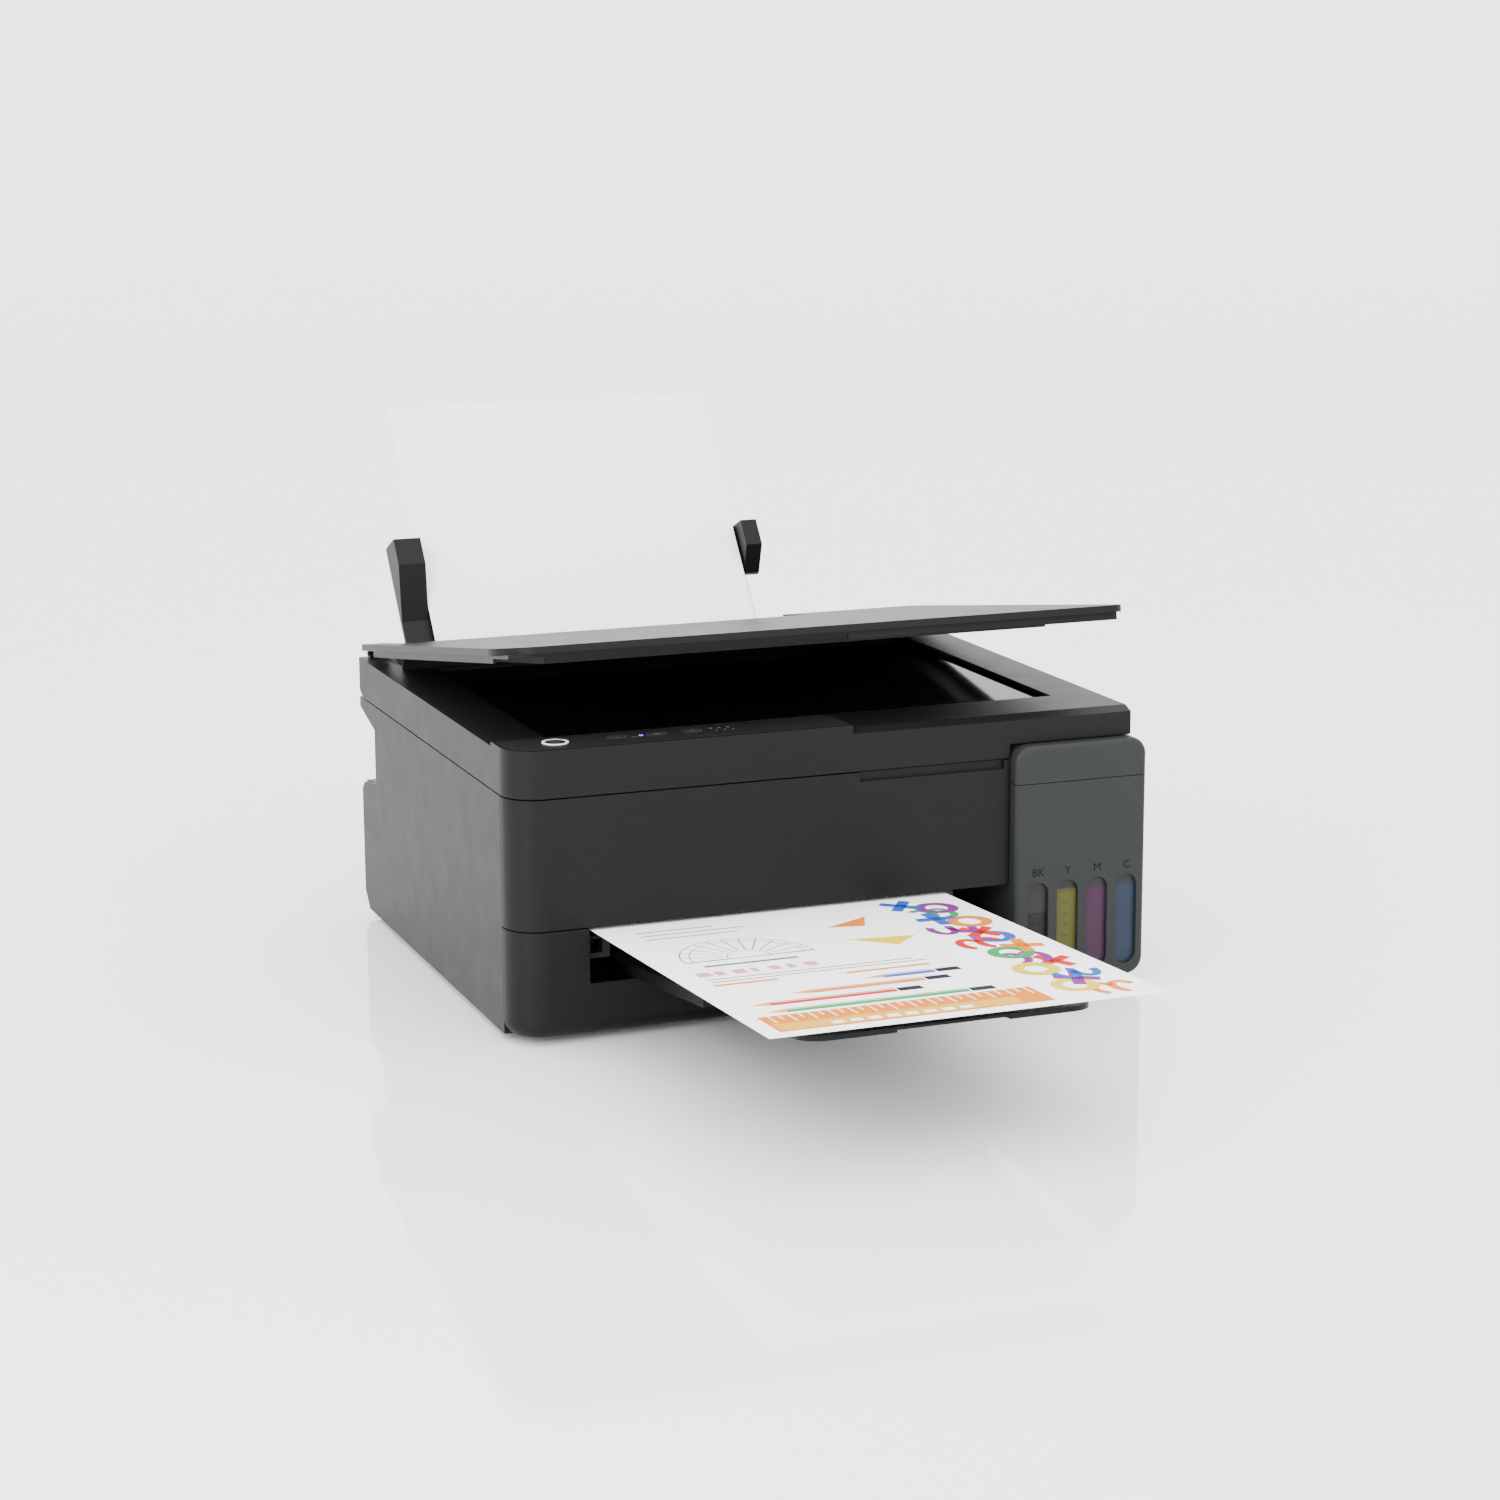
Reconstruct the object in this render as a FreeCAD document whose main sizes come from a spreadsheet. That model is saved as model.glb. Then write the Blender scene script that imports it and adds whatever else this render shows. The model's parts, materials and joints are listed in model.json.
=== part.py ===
import FreeCAD, Part
import os
import re
import Sketcher

# Ink-tank printer with a flatbed scanner. Millimetres. +Z is up, the front faces -Y, and the origin
# is on the desk under the middle of the case. Every size and place below is a formula over DIMS.

DIMS = {
    # case
    "half_w": 187.5, "front_y": 160, "back_y": 157, "foot_rise": 4, "wall": 2.5, "seam_gap": 0.4,
    "corner_r": 19.5, "wrap_y": -140, "mid_z": 64.4, "seam_z": 137.4, "base_r": 10, "fit": 0.3,
    "notch_y": 124, "notch_low": 88, "notch_high": 122, "notch_in": 24, "deck_z": 128,
    # paper outlet and tray
    "out_left": -144.5, "out_z": 33.3, "tray_tilt": 6.8, "tray_w": 156, "tray_x": -38.5,
    "tray_y": -150, "tray_z": 33, "stage_len": 180, "stage_reach": 120, "tip_reach": 253.8, "lap": 36,
    # tank unit
    "tank_x": 105.4, "tank_front": -167.4, "tank_back": 0, "tank_base": 6, "tank_top": 145,
    "cover_z": 123.4, "cover_back": -64.5, "tank_wall": 2.2, "tank_r": 10, "window_x": 119.8,
    "window_pitch": 18.6, "window_w": 13.1, "window_low": 12.9, "window_top": 65.8, "cell_w": 17.6,
    "cell_top": 108, "neck_y": -140, "neck_r": 5, "cap_r": 7, "cover_pin_y": -67,
    "cover_pin_z": 141, "small_pin_r": 1.4,
    # scanner unit
    "scan_x": 180.4, "frame_top": 161.6, "panel_top": 164, "panel_right": 9.5, "panel_back": -125,
    "glass_left": -154, "glass_right": 152, "glass_front": -115, "glass_back": 102,
    "recess_left": -171, "recess_right": 87, "recess_low_y": 98, "recess_top_y": 112,
    "unit_pin_y": 148, "unit_pin_z": 143, "unit_pin_r": 2.5, "rib_y": 104.5, "rib_top": 170.2,
    "chamfer_y": 7, "chamfer_z": 2.6,
    "button_y": -139, "ring_x": -155.5, "button_r": 5.6, "ring_r": 7.3, "oval_w": 12, "oval_d": 6,
    # lid
    "lid_pin_y": 151, "lid_pin_z": 164.5, "lid_open": 9.1, "lid_base": 166.5, "lid_top": 170.5,
    "lid_front": -156, "lid_back": 148, "lid_r": 28, "skirt_in": 4,
    # rear paper feed
    "sheet_tilt": 37, "sheet_y": 52.9, "sheet_z": 68, "sheet_w": 210, "sheet_len": 297,
    "sheet_x": -40.5, "sheet_thick": 0.3, "support_left": -162.8, "support_right": 76.5,
    "support_low": 95, "support_top": 200, "ear_w": 17, "feed_left": -168, "feed_right": 84,
    # printed page and print mechanism
    "page_x": -38, "page_y": -126.5, "page_z": 60.65, "page_tilt": 3.16, "feed_y": -68, "feed_z": 52,
    "feed_r": 7, "exit_y": -128, "exit_z": 54.6, "exit_r": 5.5, "rod_y": -60, "rod_z": 92, "rod_r": 4,
    "cart_left": 36, "cart_right": 96, "cart_front": -116, "cart_back": -51, "cart_low": 62,
    "cart_top": 112, "belt_z": 102, "rail_y": -43,
}
INK_NAMES = ("black", "yellow", "magenta", "cyan")
EPS = 0.01

doc = FreeCAD.newDocument("printer")
sheet = doc.addObject("Spreadsheet::Sheet", "dims")
for row, (alias, size) in enumerate(DIMS.items(), 1):
    sheet.set("A%d" % row, alias)
    sheet.set("B%d" % row, str(size))
    sheet.setAlias("B%d" % row, alias)
doc.recompute()

NODES = []
TURNS = {
    "x": FreeCAD.Rotation(FreeCAD.Vector(0, 1, 0), 90),
    "y": FreeCAD.Rotation(FreeCAD.Vector(1, 0, 0), -90),
    "z": FreeCAD.Rotation(),
}


def bound(formula):
    """Point every dimension name in a formula at its spreadsheet cell."""
    def to_cell(match):
        word = match.group()
        return "dims." + word if word in DIMS else word
    return re.sub(r"[A-Za-z_][A-Za-z_0-9]*", to_cell, str(formula))


def value(formula):
    return float(sheet.evalExpression(bound(formula)))


def new_body(node):
    body = doc.addObject("PartDesign::Body", node)
    body.Label = node
    body.AllowCompound = True
    NODES.append(body)
    return body


def box(body, low, high, cut=False):
    """Add or cut the box between two corners."""
    kind = "PartDesign::SubtractiveBox" if cut else "PartDesign::AdditiveBox"
    feature = body.newObject(kind, "box")
    for side, start, end in zip(("Length", "Width", "Height"), low, high):
        feature.setExpression(side, bound("(%s)-(%s)" % (end, start)))
    for axis, start in zip("xyz", low):
        feature.setExpression("Placement.Base." + axis, bound(start))
    doc.recompute()
    return feature


def rod(body, axis, start, radius, length, cut=False):
    """Add or cut a cylinder that starts at a point and runs along +x, +y or +z."""
    kind = "PartDesign::SubtractiveCylinder" if cut else "PartDesign::AdditiveCylinder"
    feature = body.newObject(kind, "rod")
    feature.Placement = FreeCAD.Placement(FreeCAD.Vector(), TURNS[axis])
    feature.setExpression("Radius", bound(radius))
    feature.setExpression("Height", bound(length))
    for name, place in zip("xyz", start):
        feature.setExpression("Placement.Base." + name, bound(place))
    doc.recompute()
    return feature


def tube(body, axis, start, radius, bore, length):
    rod(body, axis, start, radius, length)
    rod(body, axis, start, bore, length, cut=True)


def slab(body, plane, outline, low, high, cut=False):
    """Add or cut a flat outline (formula pairs) on XY, XZ or YZ, between two depths."""
    sketch = body.newObject("Sketcher::SketchObject", "outline")
    role = plane + "_Plane"
    origin_plane = [item for item in body.Origin.OriginFeatures if item.Role == role][0]
    sketch.AttachmentSupport = [(origin_plane, "")]
    sketch.MapMode = "FlatFace"
    start = "-(%s)" % high if plane == "XZ" else low
    sketch.setExpression("AttachmentOffset.Base.z", bound(start))
    corners = [FreeCAD.Vector(value(a), value(b), 0) for a, b in outline]
    count = len(corners)
    for index in range(count):
        sketch.addGeometry(Part.LineSegment(corners[index], corners[(index + 1) % count]))
    for index in range(count):
        sketch.addConstraint(Sketcher.Constraint("Coincident", index, 2, (index + 1) % count, 1))
    for index, pair in enumerate(outline):
        for kind, formula in zip(("DistanceX", "DistanceY"), pair):
            constraint = Sketcher.Constraint(kind, -1, 1, index, 1, value(formula))
            number = sketch.addConstraint(constraint)
            sketch.setExpression("Constraints[%d]" % number, bound(formula))
    feature = body.newObject("PartDesign::Pocket" if cut else "PartDesign::Pad", "slab")
    feature.Profile = sketch
    feature.setExpression("Length", bound("(%s)-(%s)" % (high, low)))
    feature.Reversed = cut
    doc.recompute()
    return feature


def soften(body, radius, chosen):
    """Round the edges of the body so far whose direction and middle satisfy the test."""
    base = body.Tip
    names = []
    for index, edge in enumerate(base.Shape.Edges, 1):
        middle = edge.CenterOfMass
        direction = edge.tangentAt(edge.FirstParameter)
        if chosen(direction, middle):
            names.append("Edge%d" % index)
    feature = body.newObject("PartDesign::Fillet", "rounding")
    feature.Base = (base, names)
    feature.setExpression("Radius", bound(radius))
    doc.recompute()
    return feature


def near(number, formula, slack=0.05):
    return abs(number - value(formula)) < slack


def upright_at(x, y):
    return lambda way, mid: abs(way.z) > 0.99 and near(mid.x, x) and near(mid.y, y)


def tilt(body, y, z, angle):
    """Turn a body about its own X axis and put its local origin at y, z."""
    body.Placement = FreeCAD.Placement(FreeCAD.Vector(), FreeCAD.Rotation(FreeCAD.Vector(1, 0, 0), 0))
    body.setExpression("Placement.Rotation.Axis.x", "1")
    body.setExpression("Placement.Rotation.Axis.z", "0")
    body.setExpression("Placement.Rotation.Angle", bound("(%s)*1deg" % angle))
    body.setExpression("Placement.Base.y", bound(y))
    body.setExpression("Placement.Base.z", bound(z))


# ---- case -------------------------------------------------------------------------------------

def wrapped_panel(node, low, high, depth):
    """A front panel that wraps round the left corner of the case; returned as a shell."""
    body = new_body(node)
    box(body, ("-half_w", "-front_y", low), ("tank_x-seam_gap", "wrap_y", high))
    box(body, ("-half_w+wall", "-front_y+" + depth, low + "-1"),
        ("tank_x+1", "wrap_y+1", high + "+1"), cut=True)
    soften(body, "corner_r-wall-1", upright_at("-half_w+wall", "-front_y+" + depth))
    soften(body, "corner_r", upright_at("-half_w", "-front_y"))
    return body


def front_panel():
    body = wrapped_panel("front_panel", "mid_z+seam_gap", "seam_z-seam_gap", "wall+1")
    box(body, ("panel_right+4", "-front_y-1", "seam_z-5.5"),
        ("tank_x-4", "-front_y+wall", "seam_z+1"), cut=True)


def lower_front_panel():
    body = new_body("lower_front_panel")
    box(body, ("-half_w", "-front_y", "foot_rise"), ("tank_x-seam_gap", "wrap_y", "mid_z-seam_gap"))
    box(body, ("-half_w+wall", "-front_y+wall", "foot_rise+base_r"),
        ("tank_x+1", "wrap_y+1", "mid_z+1"), cut=True)
    soften(body, "corner_r-wall-1", upright_at("-half_w+wall", "-front_y+wall"))
    soften(body, "corner_r", upright_at("-half_w", "-front_y"))
    soften(body, "base_r-2", lambda way, mid: near(mid.z, "foot_rise")
           and (mid.y < value("wrap_y") - 1) and mid.x < value("tank_x") - 1)
    box(body, ("-half_w+base_r+wall", "-front_y+base_r+wall", "foot_rise-1"),
        ("tank_x+1", "wrap_y+1", "foot_rise+base_r+1"), cut=True)
    box(body, ("out_left", "-front_y-1", "out_z"),
        ("tank_x+1", "-front_y+wall+1", "mid_z+1"), cut=True)


def side_outline():
    """The side of the case seen from the right, with the grip recess in its back edge."""
    return [("wrap_y+seam_gap", "foot_rise"), ("back_y-base_r", "foot_rise"),
            ("back_y", "foot_rise+base_r"), ("back_y", "notch_low-9"), ("back_y-5", "notch_low-4"),
            ("notch_y", "notch_low"), ("notch_y", "notch_high"), ("back_y", "notch_high+9"),
            ("back_y", "seam_z-seam_gap"), ("wrap_y+seam_gap", "seam_z-seam_gap")]


def left_side_panel():
    slab(new_body("left_side_panel"), "YZ", side_outline(), "-half_w", "-half_w+wall")


def right_side_panel():
    outline = [("tank_back+seam_gap", "foot_rise"), ("back_y-base_r", "foot_rise"),
               ("back_y", "foot_rise+base_r"), ("back_y", "seam_z-seam_gap"),
               ("tank_back+seam_gap", "seam_z-seam_gap")]
    slab(new_body("right_side_panel"), "YZ", outline, "scan_x-wall", "scan_x")


def base_tray():
    body = new_body("base_tray")
    low = ("-half_w+wall+fit", "-front_y+base_r+wall+fit", "foot_rise")
    box(body, low, ("scan_x-wall-fit", "back_y-base_r", "foot_rise+8"))
    box(body, ("-half_w+2*wall", "-front_y+base_r+2*wall", "foot_rise+3"),
        ("scan_x-2*wall", "back_y-base_r-wall", "foot_rise+13"), cut=True)
    box(body, ("tank_x-fit", "-front_y", "foot_rise-1"),
        ("scan_x", "tank_back+fit", "foot_rise+13"), cut=True)
    box(body, ("-half_w", "-front_y", "foot_rise-1"),
        ("-half_w+base_r+wall+fit", "wrap_y+fit", "foot_rise+13"), cut=True)


def rear_panel():
    body = new_body("rear_panel")
    box(body, ("-half_w+wall+fit", "back_y-wall", "foot_rise+base_r"),
        ("scan_x-wall-fit", "back_y", "seam_z-seam_gap"))
    box(body, ("-half_w+wall+fit", "notch_y-wall", "notch_low-4-wall"),
        ("-half_w+notch_in", "back_y", "notch_high+9+wall"))
    recess = [("notch_y", "notch_low"), ("notch_y", "notch_high"), ("back_y+1", "notch_high+9"),
              ("back_y+1", "notch_low-4")]
    slab(body, "YZ", recess, "-half_w", "-half_w+notch_in-wall", cut=True)
    hood = [("back_y-37", "seam_z-0.4"), ("back_y-14", "168"), ("back_y-6", "168"),
            ("back_y-0.5", "161"), ("back_y-0.5", "seam_z-0.4")]
    inside = [("back_y-31", "seam_z-1"), ("back_y-13", "165.6"), ("back_y-7", "165.6"),
              ("back_y-3", "160"), ("back_y-3", "seam_z-1")]
    box(body, ("feed_left+6", "back_y-37", "seam_z-3"), ("feed_right-6", "back_y-0.5", "seam_z"))
    slab(body, "YZ", hood, "feed_left", "feed_right")
    slab(body, "YZ", inside, "feed_left+2.4", "feed_right-2.4", cut=True)
    box(body, ("-161", "back_y-wall-1", "13"), ("-137", "back_y+1", "35"), cut=True)
    box(body, ("139.7", "back_y-wall-1", "13"), ("152.3", "back_y+1", "27.3"), cut=True)
    for x in SCREW_X:
        for z in SCREW_Z:
            rod(body, "y", (x, "back_y-wall-1", z), "1.6", "wall+2", cut=True)


SCREW_X = ("-120", "60", "165")
SCREW_Z = ("22", "86")


def case_screws():
    """Self-tapping screws that hold the rear panel, heads outside."""
    body = new_body("case_screws")
    for x in SCREW_X:
        for z in SCREW_Z:
            rod(body, "y", (x, "back_y-8", z), "1.5", "8")
            rod(body, "y", (x, "back_y", z), "3", "1.6")


def upper_case_frame():
    """The deck under the scanner unit, with the two hinge brackets at the back."""
    body = new_body("upper_case_frame")
    box(body, ("-half_w+wall+fit", "-front_y+6", "deck_z"), ("tank_x-fit", "88", "deck_z+3"))
    soften(body, "corner_r-6", upright_at("-half_w+wall+fit", "-front_y+6"))
    box(body, ("-150", "-130", "deck_z-1"), ("tank_x-14", "20", "deck_z+4"), cut=True)
    box(body, ("tank_x-fit", "tank_back+3", "deck_z"), ("scan_x-wall-fit", "130", "deck_z+3"))
    box(body, ("feed_right+4", "90", "deck_z"), ("scan_x-wall-fit", "back_y-wall-fit", "deck_z+3"))
    box(body, ("-half_w+wall+fit", "90", "deck_z+6.5"), ("feed_left-fit", "back_y-wall-fit", "deck_z+9"))
    box(body, ("-half_w+wall+fit", "86", "deck_z"), ("feed_left-fit", "92", "deck_z+9"))
    for low, high, foot in (("-half_w+6", "-half_w+10", "7"), ("scan_x-10", "scan_x-6", "1")):
        box(body, (low, "unit_pin_y-6", "deck_z+" + foot), (high, "unit_pin_y+3.6", "unit_pin_z+5"))
        rod(body, "x", (low + "-1", "unit_pin_y", "unit_pin_z"), "unit_pin_r+0.05", "6", cut=True)


def rubber_feet():
    body = new_body("rubber_feet")
    for x in ("-half_w+22", "scan_x-22"):
        for y in ("-front_y+40", "back_y-22"):
            rod(body, "z", (x, y, "0"), "7", "foot_rise")
    rod(body, "z", ("tank_x+20", "tank_front+20", "0"), "6", "tank_base")
    rod(body, "z", ("0", "0", "0"), "7", "foot_rise")


def power_inlet():
    """Two-pin appliance socket in the rear panel."""
    body = new_body("power_inlet")
    box(body, ("-160.7", "back_y-20", "19.3"), ("-137.3", "back_y", "34.7"))
    box(body, ("-157.5", "back_y-14", "22.5"), ("-140.5", "back_y+1", "31.5"), cut=True)
    for x in ("-153", "-145"):
        rod(body, "y", (x, "back_y-15", "27"), "1.2", "11")


def main_board():
    """Circuit board with its chips and the square data socket at the back."""
    body = new_body("main_board")
    box(body, ("112", "8", "13"), ("175", "144", "14.6"))
    for x, y, size, tall in (("125", "30", "18", "3"), ("150", "40", "12", "5"), ("128", "80", "14", "3"),
                             ("152", "90", "10", "8")):
        box(body, (x, y, "14.5"), (x + "+" + size, y + "+" + size, "14.6+" + tall))
    box(body, ("140", "back_y-18", "14.5"), ("152", "back_y", "27"))
    box(body, ("141.2", "back_y-14", "17.2"), ("150.8", "back_y+1", "25.8"), cut=True)
    box(body, ("143.5", "back_y-15", "19.7"), ("148.5", "back_y-5", "23.3"))


def power_supply():
    body = new_body("power_supply")
    box(body, ("-178", "40", "8"), ("-118", "132", "44"))
    for step in range(6):
        box(body, ("-170", "50+%d*13" % step, "42"), ("-126", "56+%d*13" % step, "45"), cut=True)


# ---- tank unit --------------------------------------------------------------------------------

def window_hole(body, x):
    """Upright slot with round ends, through the front of the tank housing."""
    front, half = "tank_front-1", "window_w/2"
    box(body, (x + "-" + half, front, "window_low+" + half),
        (x + "+" + half, "tank_front+tank_wall+1", "window_top-" + half), cut=True)
    for z in ("window_low+" + half, "window_top-" + half):
        rod(body, "y", (x, front, z), half, "tank_wall+2", cut=True)


def cell_x(index):
    return "window_x+%d*window_pitch" % index


def tank_housing():
    body = new_body("tank_housing")
    box(body, ("tank_x", "tank_front", "tank_base"), ("half_w", "tank_back", "cover_z-seam_gap"))
    soften(body, "tank_r", lambda way, mid: abs(way.y) > 0.99 and near(mid.z, "tank_base")
           and near(mid.x, "half_w"))
    soften(body, "3", lambda way, mid: abs(way.z) > 0.99 and near(mid.y, "tank_front"))
    box(body, ("tank_x+tank_wall", "tank_front+tank_wall", "tank_base+tank_wall+1"),
        ("half_w-tank_wall", "tank_back-tank_wall", "cover_z+1"), cut=True)
    box(body, ("tank_x", "cover_back+2.6", "cover_z-1"), ("half_w", "tank_back", "tank_top"))
    box(body, ("tank_x+tank_wall", "cover_back+4.8", "cover_z-2"),
        ("half_w-tank_wall", "tank_back-tank_wall", "tank_top-tank_wall"), cut=True)
    box(body, ("tank_x+1", "tank_front+1", "cell_top+0.6"),
        ("half_w-1", "tank_back-1", "cell_top+2.6"))
    for index in range(len(INK_NAMES)):
        window_hole(body, cell_x(index))
        rod(body, "z", (cell_x(index), "neck_y", "cell_top"), "neck_r+0.4", "5", cut=True)
    for low, high in (("-30", "-26"), ("+26", "+30")):
        centre = "(tank_x+half_w)/2"
        box(body, (centre + low, "cover_pin_y-2", "cover_z-1"),
            (centre + high, "cover_back+3.5", "cover_pin_z-2.4"))
        box(body, (centre + low, "cover_pin_y-2", "cover_pin_z-3"),
            (centre + high, "cover_pin_y+1.2", "cover_pin_z+1.3"))
        rod(body, "x", (centre + low + "-7", "cover_pin_y", "cover_pin_z"), "small_pin_r", "18")


def tank_cover():
    """Lift-up cover over the four filler caps."""
    body = new_body("tank_cover")
    box(body, ("tank_x", "tank_front", "cover_z"), ("half_w", "cover_back", "tank_top"))
    soften(body, "tank_r", lambda way, mid: abs(way.y) > 0.99 and near(mid.z, "tank_top"))
    soften(body, "3", lambda way, mid: abs(way.z) > 0.99 and near(mid.y, "tank_front"))
    box(body, ("tank_x+tank_wall", "tank_front+tank_wall", "cover_z-1"),
        ("half_w-tank_wall", "cover_back+1", "tank_top-tank_wall-8"), cut=True)
    box(body, ("tank_x+tank_wall+8", "tank_front+tank_wall", "tank_top-tank_wall-9"),
        ("half_w-tank_wall-8", "cover_back+1", "tank_top-tank_wall"), cut=True)
    box(body, ("tank_x-1", "cover_pin_y-2.5", "cover_z-1"),
        ("half_w+1", "cover_back+1", "cover_pin_z-4"), cut=True)
    for low, high in (("-25.5", "-21"), ("+21", "+25.5")):
        centre = "(tank_x+half_w)/2"
        box(body, (centre + low, "cover_pin_y-2.3", "cover_pin_z-2.3"),
            (centre + high, "cover_pin_y+2.3", "tank_top-1"))
    rod(body, "x", ("tank_x+3", "cover_pin_y", "cover_pin_z"), "small_pin_r+0.06",
        "half_w-tank_x-6", cut=True)


def ink_tank(index, ink):
    """Bottle-shaped cell: a thin shell with a filler neck on top."""
    body = new_body("ink_tank_" + ink)
    left, right = cell_x(index) + "-cell_w/2", cell_x(index) + "+cell_w/2"
    box(body, (left, "tank_front+tank_wall+fit", "tank_base+5"), (right, "tank_back-8", "cell_top"))
    rod(body, "z", (cell_x(index), "neck_y", "cell_top-1"), "neck_r", "6")
    box(body, (left + "+1.2", "tank_front+tank_wall+fit+1.2", "tank_base+6.2"),
        (right + "-1.2", "tank_back-9.2", "cell_top-1.2"), cut=True)
    rod(body, "z", (cell_x(index), "neck_y", "cell_top-2"), "neck_r-1.5", "8", cut=True)


def tank_cap(index, ink):
    """Rubber filler cap whose plug sits in the neck."""
    body = new_body("tank_cap_" + ink)
    rod(body, "z", (cell_x(index), "neck_y", "cell_top+5.2"), "cap_r", "8")
    rod(body, "z", (cell_x(index), "neck_y", "cell_top+0.5"), "neck_r-1.6", "5")
    box(body, (cell_x(index) + "-2", "neck_y", "cell_top+10.2"),
        (cell_x(index) + "+2", "neck_y+11", "cell_top+13.2"))


# ---- scanner unit -----------------------------------------------------------------------------

def recess_outline(grow):
    """Space behind the slanted back wall of the scanner unit; grow moves the wall forward."""
    return [("recess_low_y-" + grow, "seam_z-1"), ("recess_top_y-" + grow, "frame_top+5"),
            ("back_y+5", "frame_top+5"), ("back_y+5", "seam_z-1")]


def scanner_top_frame():
    body = new_body("scanner_top_frame")
    base = "seam_z+seam_gap"
    box(body, ("-half_w", "-front_y", base), ("scan_x", "back_y", "frame_top"))
    box(body, ("-half_w", "-front_y", "frame_top-1"), ("panel_right", "panel_back", "panel_top"))
    box(body, ("-half_w+wall", "-front_y+wall", base + "-1"),
        ("scan_x-wall", "back_y-wall", "frame_top-wall"), cut=True)
    soften(body, "corner_r-wall", upright_at("-half_w+wall", "-front_y+wall"))
    pocket_front, pocket_back = "-front_y+2.4", "panel_back+1"
    box(body, ("-half_w+2.4", pocket_front, "frame_top"),
        ("panel_right+1", pocket_back, "panel_top+1"), cut=True)
    soften(body, "corner_r-2.4", upright_at("-half_w+2.4", pocket_front))
    soften(body, "corner_r", upright_at("-half_w", "-front_y"))
    box(body, ("recess_left-wall", "rib_y", "frame_top-wall"),
        ("recess_right+wall", "rib_y+wall", "rib_top"))
    slab(body, "YZ", recess_outline("wall"), "recess_left-wall", "recess_right+wall")
    slab(body, "YZ", recess_outline("0"), "recess_left", "recess_right", cut=True)
    left, front, right = "recess_left-wall-1", "recess_low_y-20", "recess_right+wall+1"
    box(body, (left, front, "seam_z-2"), (right, "back_y+6", base), cut=True)
    box(body, (left, "rib_y+wall", "frame_top"), (right, "back_y+6", "frame_top+6"), cut=True)
    box(body, (left, "back_y", "seam_z-2"), (right, "back_y+6", "frame_top+6"), cut=True)
    box(body, ("glass_left", "glass_front", "frame_top-wall-1"),
        ("glass_right", "glass_back", "frame_top+3"), cut=True)
    box(body, ("-half_w+18", "-front_y+9", "frame_top-wall-1"),
        ("panel_right-4", "panel_back-4", "frame_top+1"), cut=True)
    slab(body, "YZ", [("unit_pin_y+2", "seam_z"), ("unit_pin_y+2", base), ("back_y+1", "seam_z+4.7"),
                      ("back_y+1", "seam_z")], "-half_w-1", "scan_x+1", cut=True)
    chamfer = [("-front_y-1", "frame_top-chamfer_z"), ("-front_y-1", "frame_top+1"),
               ("-front_y+chamfer_y", "frame_top+1"), ("-front_y+chamfer_y", "frame_top"),
               ("-front_y", "frame_top-chamfer_z")]
    slab(body, "YZ", chamfer, "panel_right", "scan_x+1", cut=True)
    box(body, ("tank_x-seam_gap", "-front_y-1", "seam_z-1"),
        ("scan_x+1", "tank_back+1", "tank_top+0.6"), cut=True)
    for x in ("-half_w+5", "scan_x-25"):
        box(body, (x, "lid_pin_y-3", "frame_top-wall"), (x + "+5", "lid_pin_y+3", "lid_pin_z"))
        rod(body, "x", (x, "lid_pin_y", "lid_pin_z"), "2.6", "5")
    for start, length in (("-half_w+4", "15"), ("scan_x-25", "15")):
        rod(body, "x", (start, "lid_pin_y", "lid_pin_z"), "small_pin_r", length)


def scanner_lower_tray():
    """Floor of the scanner unit, stepped up over the tank unit."""
    body = new_body("scanner_lower_tray")
    low, high = "seam_z+1", "tank_top+1"
    box(body, ("-half_w+wall+fit", "-front_y+wall+fit", low), ("scan_x-wall-fit", "136", low + "+1.6"))
    soften(body, "corner_r-wall", upright_at("-half_w+wall+fit", "-front_y+wall+fit"))
    box(body, ("tank_x-4", "-front_y", low + "-1"), ("scan_x", "tank_back+4", low + "+2"), cut=True)
    box(body, ("tank_x-4", "-front_y+wall+fit", high), ("scan_x-wall-fit", "tank_back+4", high + "+1.4"))
    box(body, ("tank_x-4", "-front_y+wall+fit", low), ("tank_x-2.6", "tank_back+4", high + "+1"))
    box(body, ("tank_x-4", "tank_back+2.6", low), ("scan_x-wall-fit", "tank_back+4", high + "+1"))
    box(body, ("recess_left-wall-fit", "recess_low_y-wall-4", low + "-1"),
        ("recess_right+wall+fit", "140", low + "+2"), cut=True)


def scanner_glass():
    top = "frame_top-wall-0.1"
    box(new_body("scanner_glass"), ("glass_left-4", "glass_front-4", top + "-2.2"),
        ("glass_right+4", "glass_back+2", top))


def oval(body, x, y, length, depth, low, high, cut=False):
    half = "(%s)/2" % depth
    reach = "((%s)-(%s))/2" % (length, depth)
    box(body, (x + "-" + reach, y + "-" + half, low), (x + "+" + reach, y + "+" + half, high), cut)
    for end in ("-" + reach, "+" + reach):
        rod(body, "z", (x + end, y, low), half, "(%s)-(%s)" % (high, low), cut)


OVALS = {"wifi_button": "-120.5", "copy_button": "-98", "stop_button": "-77"}


def control_panel():
    body = new_body("control_panel")
    low, high = "frame_top+0.1", "panel_top-0.3"
    box(body, ("-half_w+2.8", "-front_y+2.8", low), ("panel_right-0.2", "panel_back", high))
    soften(body, "corner_r-2.8", upright_at("-half_w+2.8", "-front_y+2.8"))
    soften(body, "11", upright_at("panel_right-0.2", "panel_back"))
    rod(body, "z", ("ring_x", "button_y", "frame_top-1"), "ring_r+0.1", "6", cut=True)
    for x in OVALS.values():
        oval(body, x, "button_y", "oval_w+0.8", "oval_d+0.8", "frame_top-1", "panel_top+1", cut=True)


def power_ring():
    tube(new_body("power_ring"), "z", ("ring_x", "button_y", "frame_top+0.1"),
         "ring_r", "button_r+0.35", "panel_top-frame_top")


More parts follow.
